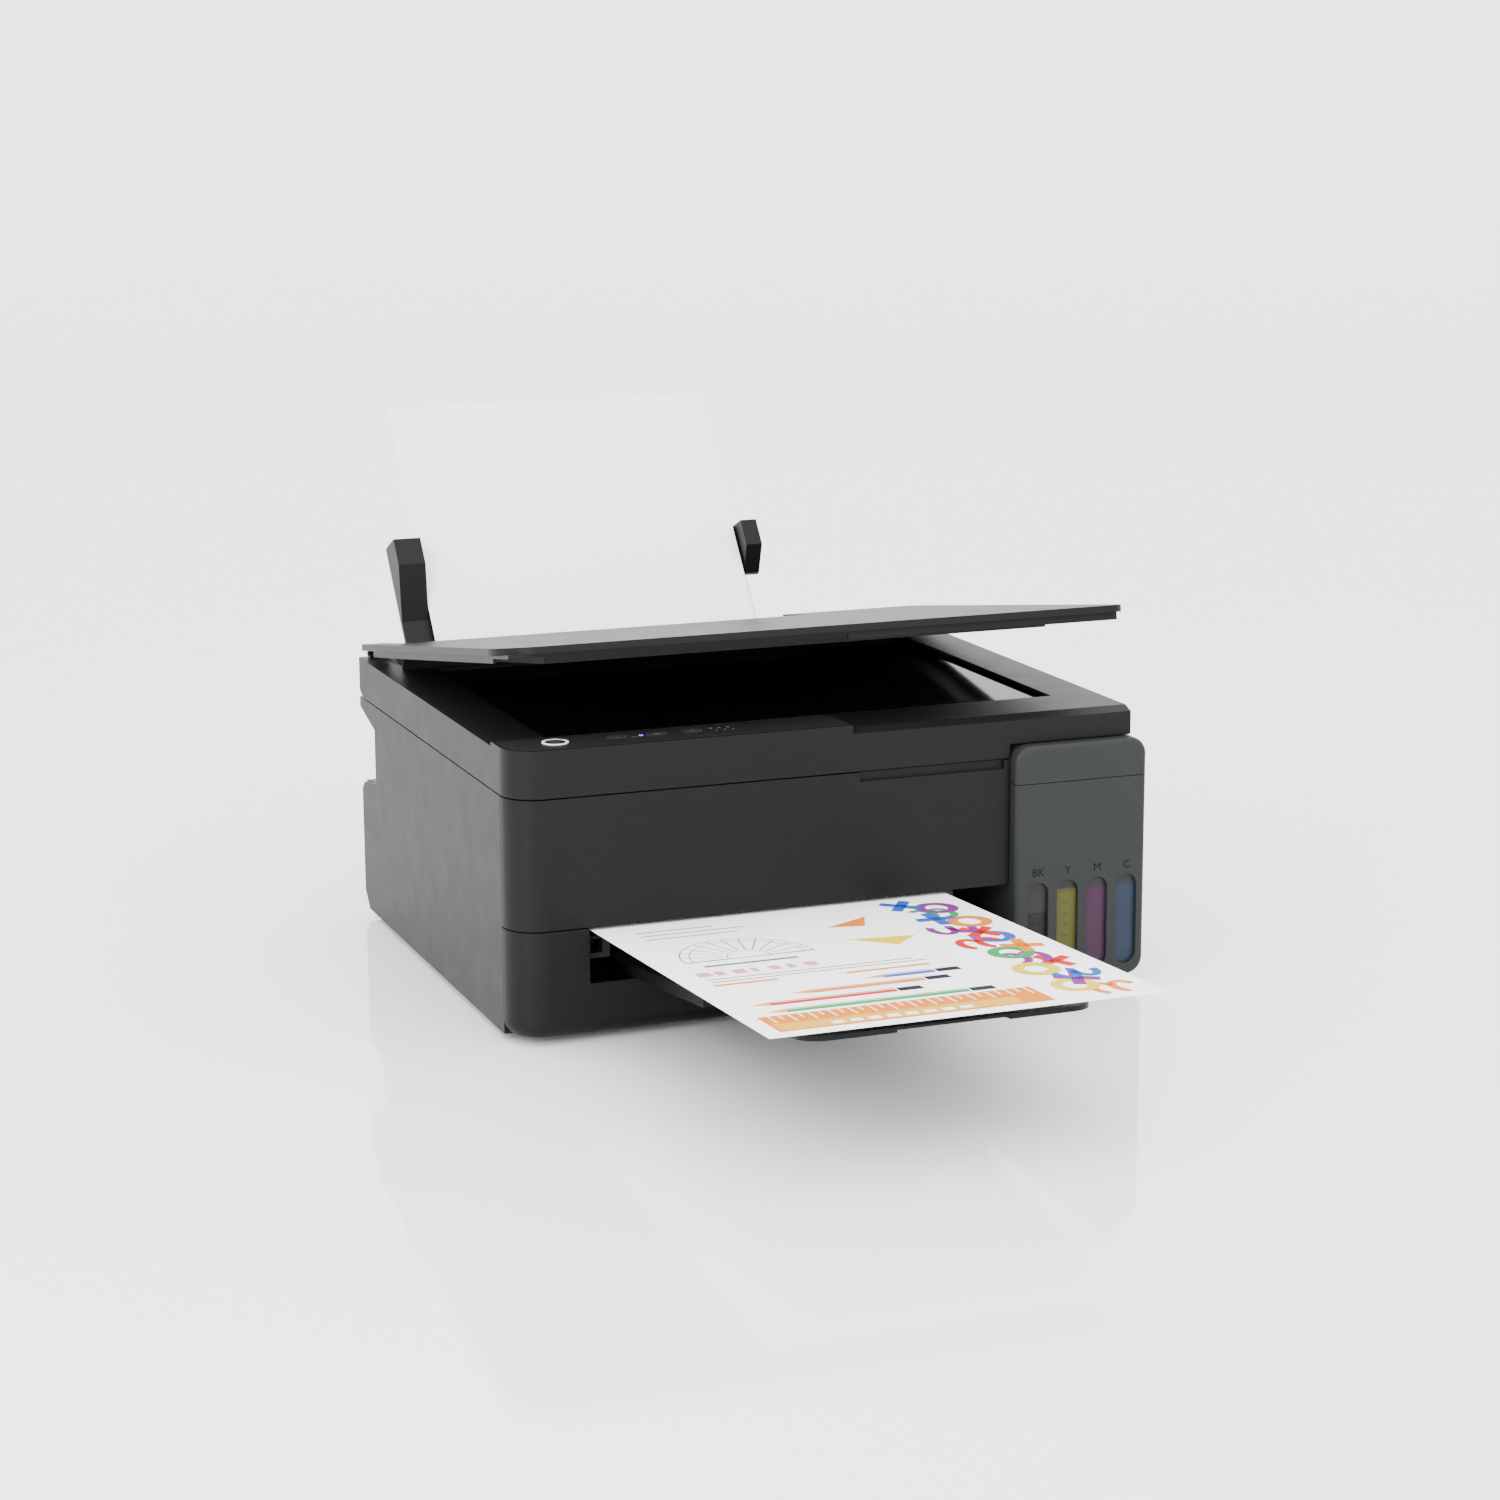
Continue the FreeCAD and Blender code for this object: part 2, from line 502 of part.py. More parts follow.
def power_button():
    body = new_body("power_button")
    rod(body, "z", ("ring_x", "button_y", "frame_top-1.2"), "button_r", "panel_top-frame_top+1.3")
    rod(body, "z", ("ring_x", "button_y", "frame_top-1.8"), "button_r+0.8", "0.7")


def oval_button(node, x):
    body = new_body(node)
    oval(body, x, "button_y", "oval_w", "oval_d", "frame_top-1.2", "panel_top")
    oval(body, x, "button_y", "oval_w+2", "oval_d+2", "frame_top-1.8", "frame_top-1.1")


def control_board():
    body = new_body("control_board")
    box(body, ("-half_w+20", "-front_y+10", "frame_top-6"),
        ("panel_right-6", "panel_back-6", "frame_top-4.5"))
    for x in ["ring_x"] + list(OVALS.values()):
        box(body, (x + "-3", "button_y-3", "frame_top-4.6"), (x + "+3", "button_y+3", "frame_top-3"))


def scan_guide_rod():
    rod(new_body("scan_guide_rod"), "x", ("-half_w+wall+0.5", "-6", "152.4"), "2.5",
        "half_w+scan_x-2*wall-1")


def scan_carriage():
    """Image sensor bar that runs along the rod under the glass."""
    body = new_body("scan_carriage")
    box(body, ("glass_left+1", "glass_front+1", "148.6"), ("glass_left+19", "glass_back-4", "156.3"))
    rod(body, "x", ("glass_left", "-6", "152.4"), "2.55", "20", cut=True)


def hinge_pins():
    """Steel pins that join the scanner unit to the brackets on the case."""
    body = new_body("hinge_pins")
    for start in ("-half_w+wall", "scan_x-wall-9"):
        rod(body, "x", (start, "unit_pin_y", "unit_pin_z"), "unit_pin_r", "9")


# ---- lid (drawn closed, then opened to its resting angle) ----------------------------------------

def open_lid(body):
    """Bodies of the lid are drawn about their hinge, so turning the body opens it."""
    tilt(body, "lid_pin_y", "lid_pin_z", "-lid_open")


def document_lid():
    body = new_body("document_lid")
    front, back = "lid_front-lid_pin_y", "lid_back-lid_pin_y"
    low, high, base = "lid_base-lid_pin_z", "lid_top-lid_pin_z", "frame_top+0.5-lid_pin_z"
    box(body, ("-half_w", front, low), ("scan_x", back, high))
    soften(body, "lid_r", upright_at("-half_w", front))
    soften(body, "8", upright_at("scan_x", front))
    box(body, ("-half_w+skirt_in", front + "+skirt_in", base),
        ("scan_x-skirt_in", back + "-skirt_in-8", low + "+0.5"))
    box(body, ("-half_w+skirt_in+2", front + "+skirt_in+2", base + "-1"),
        ("scan_x-skirt_in-2", back + "-skirt_in-10", low), cut=True)
    box(body, ("-half_w-1", front + "-1", base + "-1"),
        ("panel_right+2", "panel_back+2-lid_pin_y", "panel_top+0.7-lid_pin_z"), cut=True)
    box(body, ("recess_left-3", "rib_y-1-lid_pin_y", base + "-1"),
        ("recess_right+3", back + "+1", high + "+1"), cut=True)
    box(body, ("recess_left-3", "rib_y-3-lid_pin_y", base),
        ("recess_right+3", "rib_y-1-lid_pin_y", high))
    for x in ("-half_w+11", "scan_x-19"):
        box(body, (x, "-3.5", "-2.4"), (x + "+8", "1.5", low + "+1"))
        rod(body, "x", (x + "-1", "0", "0"), "small_pin_r+0.06", "10", cut=True)
    open_lid(body)


def document_mat():
    """Foam pad under the lid that presses the page on the glass."""
    body = new_body("document_mat")
    box(body, ("glass_left+2", "glass_front+2-lid_pin_y", "frame_top-2-lid_pin_z"),
        ("glass_right-2", "glass_back-3-lid_pin_y", "lid_base-lid_pin_z-0.02"))
    open_lid(body)


# ---- rear paper feed (drawn flat: +Y up the sheet, +Z towards the front) ---------------------------

def lean(body):
    """Stand a feed body up so that it leans back with the paper."""
    tilt(body, "sheet_y", "sheet_z", "90-sheet_tilt")


def paper_support():
    body = new_body("paper_support")
    box(body, ("support_left", "support_low", "-6.8"), ("support_right-10", "support_top", "-3.6"))
    for left, right, forward, foot in (("support_left", "support_left+ear_w", "14", "support_low+52"),
                                       ("support_right-10.5", "support_right", "12", "support_top-34")):
        ear = [(foot, "-4"), ("support_top-22", forward), ("support_top-4", forward),
               ("support_top", "-3.6"), ("support_top", "-6.8"), (foot, "-6.8")]
        slab(body, "YZ", ear, left, right)
    lean(body)


def edge_guide(node, side):
    """Paper edge guide; side is -1 for the left one and 1 for the right one."""
    body = new_body(node)
    inner = "sheet_x+%d*(sheet_w/2+0.6)" % side
    outer = "sheet_x+%d*(sheet_w/2+11)" % side
    thin = "sheet_x+%d*(sheet_w/2+2.1)" % side
    low, high = (outer, inner) if side < 0 else (inner, outer)
    box(body, (low, "44", "-3.2"), (high, "84", "-1.4"))
    low, high = (thin, inner) if side < 0 else (inner, thin)
    box(body, (low, "44", "-1.5"), (high, "84", "5"))
    lean(body)


def blank_paper():
    body = new_body("blank_paper")
    box(body, ("sheet_x-sheet_w/2", "0", "0"), ("sheet_x+sheet_w/2", "sheet_len", "sheet_thick"))
    lean(body)


def hopper_plate():
    """Plate that the waiting sheets lean on at the pickup roller."""
    body = new_body("hopper_plate")
    box(body, ("sheet_x-sheet_w/2+10", "4", "-2.6"), ("sheet_x+sheet_w/2-10", "88", "-0.6"))
    lean(body)


def rear_feed_housing():
    body = new_body("rear_feed_housing")
    box(body, ("feed_left", "2", "-11"), ("feed_right", "118", "-8"))
    for x in ("feed_left", "feed_right-2.4"):
        cheek = [("2", "-9"), ("2", "8"), ("22", "19"), ("42", "19"), ("60", "6"), ("92", "4"),
                 ("118", "6"), ("118", "-9")]
        slab(body, "YZ", cheek, x, x + "+2.4")
    box(body, ("feed_left", "89.5", "-3.2"), ("feed_right", "94.5", "-1"))
    box(body, ("feed_left", "2", "-9"), ("feed_right", "3.6", "-1"))
    lean(body)


def pickup_roller():
    """Rubber roller on its shaft above the foot of the waiting sheets."""
    body = new_body("pickup_roller")
    rod(body, "x", ("feed_left+3", "32", "14.7"), "3", "feed_right-feed_left-6")
    rod(body, "x", ("sheet_x-18", "32", "14.7"), "14", "36")
    rod(body, "x", ("sheet_x-60", "32", "14.7"), "8", "6")
    lean(body)


# ---- print mechanism ------------------------------------------------------------------------------

def platen():
    body = new_body("platen")
    box(body, ("-152", "-112", "48"), ("74", "-78", "57"))
    for step in range(12):
        box(body, ("-146+%d*18.5" % step, "-110", "56"), ("-144+%d*18.5" % step, "-80", "59.3"))


def geared_roller(node, y, z, radius, gear_r):
    body = new_body(node)
    rod(body, "x", ("-162", y, z), radius, "240")
    rod(body, "x", ("-172", y, z), "2.5", "256")
    rod(body, "x", ("-170", y, z), gear_r, "5")


def idler_gear():
    """Passes the turn of the feed roller's gear on to the outlet roller's gear."""
    body = new_body("idler_gear")
    rod(body, "x", ("-170", "(feed_y+exit_y)/2-3", "(feed_z+exit_z)/2"), "14.6", "5")
    rod(body, "x", ("-173", "(feed_y+exit_y)/2-3", "(feed_z+exit_z)/2"), "2.5", "10")


def star_wheels():
    """Row of thin spiked wheels over the outlet roller, on one holder bar."""
    body = new_body("star_wheels")
    box(body, ("-150", "exit_y-4", "exit_z+17"), ("76", "exit_y+4", "exit_z+19"))
    for step in range(9):
        x = "-140+%d*25" % step
        rod(body, "x", (x, "exit_y", "exit_z+12.4"), "5", "1.2")
        box(body, (x + "-2", "exit_y-1", "exit_z+12"), (x + "+3.2", "exit_y+1", "exit_z+18"))


def carriage_rail():
    body = new_body("carriage_rail")
    box(body, ("-180", "rail_y", "60"), ("100", "rail_y+1.6", "124"))
    box(body, ("-180", "rail_y-9", "120"), ("100", "rail_y", "124"))
    for x in ("-180", "98.4"):
        box(body, (x, "rod_y-12", "78"), (x + "+1.6", "rail_y+1", "124"))
    rod(body, "x", ("-181", "rod_y", "rod_z"), "rod_r+0.05", "283", cut=True)
    rod(body, "y", ("-166", "rail_y-2", "belt_z"), "5", "5", cut=True)


def carriage_rod():
    rod(new_body("carriage_rod"), "x", ("-180", "rod_y", "rod_z"), "rod_r", "280")


def print_carriage():
    body = new_body("print_carriage")
    box(body, ("cart_left", "cart_front", "72"), ("cart_right", "cart_back", "cart_top"))
    soften(body, "6", lambda way, mid: abs(way.x) > 0.99 and near(mid.z, "cart_top")
           and near(mid.y, "cart_front"))
    box(body, ("cart_left+3", "cart_front+3", "80"), ("cart_right-3", "rod_y-8", "cart_top+1"), cut=True)
    rod(body, "x", ("cart_left-1", "rod_y", "rod_z"), "rod_r+0.05", "62", cut=True)


def print_head():
    """Nozzle block under the carriage, with the ink dampers standing in its well."""
    body = new_body("print_head")
    box(body, ("cart_left+8", "-110", "60.8"), ("cart_right-8", "-84", "72"))
    for step in range(4):
        box(body, ("cart_left+5+%d*12.5" % step, "cart_front+6", "80.1"),
            ("cart_left+15+%d*12.5" % step, "rod_y-12", "108"))


def carriage_belt():
    """Toothed belt round its two pulleys, in front of the rail."""
    body = new_body("carriage_belt")
    for x in ("-166", "88"):
        rod(body, "y", (x, "rail_y-5.8", "belt_z"), "5.4", "4.6")
    for z in ("belt_z+5.4", "belt_z-6.4"):
        box(body, ("-166", "rail_y-5.8", z), ("88", "rail_y-1.2", z + "+1"))


def drive_motors():
    """Carriage motor behind the rail and paper motor beside the feed roller."""
    body = new_body("drive_motors")
    rod(body, "y", ("-166", "rail_y+1.9", "belt_z"), "14", "26")
    rod(body, "x", ("-160", "-30", "30"), "13", "28")
    rod(body, "x", ("-171", "-30", "30"), "3", "12")


def capping_station():
    body = new_body("capping_station")
    box(body, ("cart_left+16", "-112", "20"), ("cart_right-2", "-82", "46"))
    box(body, ("cart_left+40", "-108", "45"), ("cart_right-2", "-86", "60"))
    box(body, ("cart_left+42", "-106", "57"), ("cart_right-4", "-88", "61"), cut=True)


# ---- output tray (drawn flat: -Y out of the case) -------------------------------------------------

def slope(body):
    tilt(body, "tray_y", "tray_z", "-tray_tilt")


def tray_housing():
    """Ledge inside the outlet that the tray slides over, with the small square pocket at the left."""
    body = new_body("tray_housing")
    front, roller = "-front_y+wall+fit+2", "exit_y-exit_r-1"
    box(body, ("out_left-3", front, "46"), ("out_left+13", roller, "58"))
    box(body, ("out_left+2", "-front_y", "49"), ("out_left+9", "-140", "57"), cut=True)
    box(body, ("out_left-3", front, "24"), ("out_left-0.5", roller, "47"))
    box(body, ("out_left-3", front, "24"), ("out_left-0.5", "-60", "44"))
    box(body, ("tray_x+tray_w/2+10", front, "24"), ("tray_x+tray_w/2+12", "-116", "44"))


def output_tray_inner():
    body = new_body("output_tray_inner")
    half = "(tray_w/2+3)"
    box(body, ("tray_x-" + half, "-stage_reach", "0"), ("tray_x+" + half, "stage_len-stage_reach", "2.2"))
    for x in ("tray_x-" + half, "tray_x+" + half + "-2"):
        box(body, (x, "-stage_reach", "0"), (x + "+2", "stage_len-stage_reach", "6"))
    slope(body)


def output_tray_outer():
    body = new_body("output_tray_outer")
    half = "(tray_w/2)"
    box(body, ("tray_x-" + half, "-tip_reach", "2.6"), ("tray_x+" + half, "-stage_reach+lap", "5.2"))
    soften(body, "14", lambda way, mid: abs(way.z) > 0.99 and near(mid.y, "-tip_reach"))
    box(body, ("tray_x-30", "-tip_reach-1", "2"), ("tray_x+30", "-tip_reach+6", "4"), cut=True)
    slope(body)


def printed_page():
    body = new_body("printed_page")
    box(body, ("page_x-sheet_w/2", "-sheet_len", "0"), ("page_x+sheet_w/2", "0", "sheet_thick"))
    tilt(body, "page_y", "page_z", "-page_tilt")


def build():
    front_panel()
    lower_front_panel()
    left_side_panel()
    right_side_panel()
    base_tray()
    rear_panel()
    case_screws()
    upper_case_frame()
    rubber_feet()
    power_inlet()
    main_board()
    power_supply()
    tank_housing()
    tank_cover()
    for index, ink in enumerate(INK_NAMES):
        ink_tank(index, ink)
        tank_cap(index, ink)
    scanner_top_frame()
    scanner_lower_tray()
    scanner_glass()
    control_panel()
    control_board()
    power_ring()
    power_button()
    for node, x in OVALS.items():
        oval_button(node, x)
    scan_guide_rod()
    scan_carriage()
    hinge_pins()
    document_lid()
    document_mat()
    paper_support()
    edge_guide("edge_guide_left", -1)
    edge_guide("edge_guide_right", 1)
    blank_paper()
    hopper_plate()
    rear_feed_housing()
    pickup_roller()
    platen()
    geared_roller("main_feed_roller", "feed_y", "feed_z", "feed_r", "18")
    geared_roller("exit_roller", "exit_y", "exit_z", "exit_r", "12")
    idler_gear()
    star_wheels()
    carriage_rail()
    carriage_rod()
    print_carriage()
    print_head()
    carriage_belt()
    drive_motors()
    capping_station()
    tray_housing()
    output_tray_inner()
    output_tray_outer()
    printed_page()


def export():
    """Write each finished sub-part to its own STEP file, refusing broken ones."""
    doc.recompute()
    for item in doc.Objects:
        if "Invalid" in item.State or "Error" in item.State:
            raise RuntimeError("%s did not build" % item.FullName)
    os.makedirs("parts", exist_ok=True)
    for body in NODES:
        if body.Shape.isNull() or not body.Shape.isValid():
            raise RuntimeError("%s has no valid shape" % body.Label)
        body.Shape.exportStep("parts/%s.step" % body.Label)


build()
export()
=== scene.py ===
import json
import math

import bpy
from mathutils import Matrix, Vector


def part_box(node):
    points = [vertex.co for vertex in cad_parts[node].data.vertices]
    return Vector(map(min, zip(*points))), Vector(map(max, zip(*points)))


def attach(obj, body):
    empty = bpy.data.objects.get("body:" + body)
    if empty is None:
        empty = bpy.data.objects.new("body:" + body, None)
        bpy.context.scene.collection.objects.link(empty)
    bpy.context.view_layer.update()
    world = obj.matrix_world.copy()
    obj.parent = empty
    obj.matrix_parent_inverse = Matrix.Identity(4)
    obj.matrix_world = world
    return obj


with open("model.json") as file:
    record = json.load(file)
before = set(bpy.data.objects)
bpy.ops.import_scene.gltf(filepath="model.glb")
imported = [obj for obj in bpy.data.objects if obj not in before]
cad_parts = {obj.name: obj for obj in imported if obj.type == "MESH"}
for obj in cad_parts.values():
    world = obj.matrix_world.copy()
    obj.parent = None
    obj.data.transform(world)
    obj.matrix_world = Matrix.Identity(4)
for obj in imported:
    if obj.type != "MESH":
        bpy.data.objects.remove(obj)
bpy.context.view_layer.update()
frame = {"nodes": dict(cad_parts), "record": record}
MM = 0.001

# Places every detail is measured from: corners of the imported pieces, in metres.
PANEL_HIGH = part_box("control_panel")[1]
PAGE_LOW, PAGE_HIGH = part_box("printed_page")
TANK_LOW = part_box("tank_housing")[0]
INKS = {
    "black": ("BK", 0.36, (0.006, 0.006, 0.0065)),
    "yellow": ("Y", 0.48, (0.062, 0.06, 0.011)),
    "magenta": ("M", 0.48, (0.036, 0.012, 0.031)),
    "cyan": ("C", 0.48, (0.013, 0.022, 0.04)),
}


# ---- materials ----------------------------------------------------------------------------------

class Shader:
    """A node material under construction; add() makes a node and join() links two sockets."""

    def __init__(self, name, gloss=0.5):
        self.material = bpy.data.materials.new(name)
        self.material.use_nodes = True
        self.tree = self.material.node_tree
        self.surface = self.tree.nodes["Principled BSDF"]
        self.fix("Specular IOR Level", gloss)

    def add(self, kind, **settings):
        node = self.tree.nodes.new("ShaderNode" + kind)
        for key, setting in settings.items():
            setattr(node, key, setting)
        return node

    def join(self, source, target):
        self.tree.links.new(source, target)

    def feed(self, socket, source):
        """Drive one input of the surface from another node."""
        self.join(source, self.surface.inputs[socket])

    def fix(self, socket, setting):
        """Give one input of the surface a constant."""
        self.surface.inputs[socket].default_value = setting

    def place(self, stretch=(1, 1, 1)):
        """Coordinates in metres on the piece itself, stretched per axis."""
        texture = self.add("TexCoord")
        mapping = self.add("Mapping")
        mapping.inputs["Scale"].default_value = stretch
        self.join(texture.outputs["Object"], mapping.inputs["Vector"])
        return mapping.outputs["Vector"]

    def noise(self, scale, detail=3.0, stretch=(1, 1, 1)):
        node = self.add("TexNoise")
        node.inputs["Scale"].default_value = scale
        node.inputs["Detail"].default_value = detail
        self.join(self.place(stretch), node.inputs["Vector"])
        return node.outputs["Fac"]

    def between(self, factor, low, high):
        node = self.add("Mix", data_type="RGBA")
        self.join(factor, node.inputs["Factor"])
        node.inputs["A"].default_value = (*low, 1)
        node.inputs["B"].default_value = (*high, 1)
        return node.outputs["Result"]

    def span(self, factor, low, high):
        node = self.add("MapRange")
        self.join(factor, node.inputs["Value"])
        node.inputs["To Min"].default_value = low
        node.inputs["To Max"].default_value = high
        return node.outputs["Result"]

    def bump(self, height, strength, distance, edge=0.0):
        """Surface grain; edge also rounds the piece's sharp edges by that radius."""
        node = self.add("Bump")
        node.inputs["Strength"].default_value = strength
        node.inputs["Distance"].default_value = distance
        self.join(height, node.inputs["Height"])
        if edge:
            bevel = self.add("Bevel", samples=6)
            bevel.inputs["Radius"].default_value = edge
            self.join(bevel.outputs["Normal"], node.inputs["Normal"])
        self.feed("Normal", node.outputs["Normal"])


def shade(color, gain):
    return tuple(channel * gain for channel in color)


def grained_plastic(name, color, roughness, edge=0.0006, grain=2600, depth=0.00003):
    """Injection-moulded plastic: fine spark-eroded grain, faint tone changes, softened edges."""
    shader = Shader(name, 0.12)
    tone = shader.between(shader.noise(scale=9), shade(color, 0.9), shade(color, 1.1))
    shader.feed("Base Color", tone)
    shader.feed("Roughness", shader.span(shader.noise(scale=60), roughness - 0.04, roughness + 0.05))
    shader.bump(shader.noise(scale=grain, detail=2), strength=0.35, distance=depth, edge=edge)
    return shader.material


def rubber(name, color):
    shader = Shader(name)
    shader.feed("Base Color", shader.between(shader.noise(scale=200), shade(color, 0.8), shade(color, 1.25)))
    shader.fix("Roughness", 0.8)
    shader.bump(shader.noise(scale=1500), strength=0.4, distance=0.00005)
    return shader.material


def drawn_steel(name, color):
    """Plated steel with fine lines along its length."""
    shader = Shader(name)
    shader.fix("Metallic", 1)
    lines = shader.noise(scale=120, detail=4, stretch=(0.4, 12, 12))
    shader.feed("Base Color", shader.between(lines, shade(color, 0.8), shade(color, 1.1)))
    shader.feed("Roughness", shader.span(lines, 0.22, 0.38))
    shader.bump(lines, strength=0.15, distance=0.00003, edge=0.0003)
    return shader.material


def circuit_board():
    shader = Shader("circuit board")
    mask_green = (0.01, 0.09, 0.04)
    track_green = (0.05, 0.2, 0.09)
    tracks = shader.noise(scale=350, detail=0)
    shader.feed("Base Color", shader.between(shader.span(tracks, 0, 1), mask_green, track_green))
    shader.fix("Roughness", 0.35)
    shader.bump(tracks, strength=0.2, distance=0.0001)
    return shader.material


def scan_glass():
    """Dark glass over the black scanner bay, with faint smears that break up its reflections."""
    shader = Shader("scan glass", 0.1)
    smear = shader.noise(scale=14)
    shader.feed("Base Color", shader.between(smear, (0.0015, 0.0015, 0.002), (0.003, 0.003, 0.003)))
    shader.feed("Roughness", shader.span(smear, 0.03, 0.09))
    shader.fix("IOR", 1.32)
    return shader.material


def foam_pad_in_painted_shade():
    shader = Shader("foam pad in painted shade")
    cells = shader.noise(scale=900, detail=4)
    # Painted shade: the mat is drawn near black for the shadow it lies in under the lid, not in a colour of
    # its own.
    shader.feed("Base Color", shader.between(cells, (0.008, 0.008, 0.008), (0.02, 0.02, 0.02)))
    shader.fix("Roughness", 0.95)
    shader.bump(cells, strength=0.6, distance=0.0002)
    return shader.material


def paper(name, color):
    """Plain office paper: near white with a slight fibre mottling."""
    shader = Shader(name, 0.1)
    fibres = shader.noise(scale=160, detail=5)
    shader.feed("Base Color", shader.between(fibres, shade(color, 0.975), color))
    shader.fix("Roughness", 0.7)
    shader.bump(shader.noise(scale=900, detail=4), strength=0.12, distance=0.00004)
    return shader.material


def printed_ink(name, color):
    """Ink on paper, slightly uneven from place to place."""
    shader = Shader(name, 0.08)
    shader.feed("Base Color", shader.between(shader.noise(scale=220, detail=4), shade(color, 0.92), color))
    shader.fix("Roughness", 0.5)
    return shader.material


def frosted_cell(ink):
    """Milky tank wall: the ink shows up to its level, and the empty top is plain grey."""
    low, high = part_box("ink_tank_" + ink)
    _, filled, color = INKS[ink]
    level = low.z + (high.z - low.z) * filled
    shader = Shader("cell " + ink, 0.2)
    split = shader.add("SeparateXYZ")
    shader.join(shader.place(), split.inputs["Vector"])
    edge = shader.add("MapRange")
    edge.inputs["From Min"].default_value = level - 0.6 * MM
    edge.inputs["From Max"].default_value = level + 0.6 * MM
    shader.join(split.outputs["Z"], edge.inputs["Value"])
    mottled = shader.between(shader.noise(scale=70), shade(color, 0.85), shade(color, 1.15))
    both = shader.add("Mix", data_type="RGBA")
    shader.join(edge.outputs["Result"], both.inputs["Factor"])
    shader.join(mottled, both.inputs["A"])
    both.inputs["B"].default_value = (0.016, 0.016, 0.017, 1)
    shader.feed("Base Color", both.outputs["Result"])
    shader.fix("Roughness", 0.4)
    shader.bump(shader.noise(scale=400), strength=0.2, distance=0.00005, edge=0.0004)
    return shader.material


def lit(name, color, strength):
    """A light guide: its own colour glows, a little brighter and dimmer along it."""
    shader = Shader(name)
    glow = shader.between(shader.noise(scale=90), shade(color, 0.9), color)
    shader.feed("Base Color", glow)
    shader.feed("Emission Color", glow)
    shader.fix("Emission Strength", strength)
    shader.fix("Roughness", 0.3)
    return shader.material


CHARCOAL = (0.0052, 0.0052, 0.0054)
FINISHES = {
    "case_plastic": grained_plastic("case plastic", CHARCOAL, 0.44),
    "lid_plastic": grained_plastic("lid plastic", shade(CHARCOAL, 1.05), 0.42, edge=0.0009),
    "tank_plastic": grained_plastic("tank plastic", (0.019, 0.0205, 0.0212), 0.42, edge=0.0009),
    "panel_plastic": grained_plastic("control strip", (0.015, 0.015, 0.016), 0.34, edge=0.0004),
    "inner_plastic": grained_plastic("inner plastic", (0.012, 0.012, 0.013), 0.5),
    "frame_plastic": grained_plastic("grey moulding", (0.2, 0.2, 0.21), 0.5),
    "button_plastic": grained_plastic("button", (0.018, 0.018, 0.019), 0.3, edge=0.0004),
    "light_plastic": lit("lit ring", (0.9, 0.9, 0.9), 0.3),
    "cap_rubber": rubber("cap rubber", (0.05, 0.05, 0.053)),
    "foot_rubber": rubber("foot rubber", (0.02, 0.02, 0.02)),
    "roller_rubber": rubber("roller rubber", (0.06, 0.06, 0.06)),
    "belt_rubber": rubber("belt rubber", (0.03, 0.03, 0.03)),
    "steel": drawn_steel("plated steel", (0.6, 0.6, 0.62)),
    "motor_steel": drawn_steel("motor can", (0.42, 0.42, 0.44)),
    "gear_plastic": grained_plastic("acetal", (0.66, 0.65, 0.62), 0.45),
    "board": circuit_board(),
    "scan_glass": scan_glass(),
    "foam": foam_pad_in_painted_shade(),
    "sheet_paper": paper("blank sheet", (0.95, 0.95, 0.955)),
    "print_paper": paper("printed sheet", (0.95, 0.95, 0.95)),
}


def dress_frame():
    """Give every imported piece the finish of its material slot."""
    for part in frame["record"]["subparts"]:
        node = frame["nodes"][part["node"]]
        node.data.materials.clear()
        if part["node"].startswith("ink_tank_"):
            ink = part["node"][len("ink_tank_"):]
            node.data.materials.append(frosted_cell(ink))
        else:
            node.data.materials.append(FINISHES[part["material_slot"]])


# ---- pieces -------------------------------------------------------------------------------------

def piece(name, corners, faces, material, body):
    mesh = bpy.data.meshes.new(name)
    mesh.from_pydata([tuple(corner) for corner in corners], [], faces)
    mesh.update()
    thing = bpy.data.objects.new(name, mesh)
    bpy.context.scene.collection.objects.link(thing)
    mesh.materials.append(material)
    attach(thing, body)
    return thing


def prism(name, outline, to_world, thick, material, body):
    """A thin plate: a flat outline, placed in the world by to_world(a, b, lift)."""
    count = len(outline)
    corners = [to_world(a, b, lift) for lift in (0, thick) for a, b in outline]
    sides = [(i, (i + 1) % count, count + (i + 1) % count, count + i) for i in range(count)]
    faces = [tuple(reversed(range(count))), tuple(range(count, 2 * count))] + sides
    return piece(name, corners, faces, material, body)


def ring_outline(a, b, outer_a, outer_b, width, start=0, sweep=360, steps=40):
    """A closed band round an ellipse, or along part of it."""
    outer, inner = [], []
    for step in range(steps + 1):
        angle = math.radians(start + sweep * step / steps)
        outer.append((a + outer_a * math.cos(angle), b + outer_b * math.sin(angle)))
        inner.append((a + (outer_a - width) * math.cos(angle), b + (outer_b - width) * math.sin(angle)))
    return outer + inner[::-1]


def band(name, outline, to_world, thick, material, body):
    """A ring_outline as a strip of four-sided faces, so it fills cleanly."""
    half = len(outline) // 2
    outer, inner = outline[:half], outline[half:][::-1]
    corners = [to_world(a, b, thick) for a, b in outer + inner]
    faces = [(i, i + 1, half + i + 1, half + i) for i in range(half - 1)]
    return piece(name, corners, faces, material, body)


def rectangle(a, b, wide, deep):
    return [(a, b), (a + wide, b), (a + wide, b + deep), (a, b + deep)]


def slanted_bar(middle, arm, side):
    """A rectangle round middle; arm and side are half its length and half its width, as vectors."""
    corners = (middle - arm - side, middle + arm - side, middle + arm + side, middle - arm + side)
    return [tuple(corner) for corner in corners]


def disc(a, b, radius_a, radius_b, steps=28):
    turns = [2 * math.pi * step / steps for step in range(steps)]
    return [(a + radius_a * math.cos(turn), b + radius_b * math.sin(turn)) for turn in turns]


# ---- control strip ------------------------------------------------------------------------------

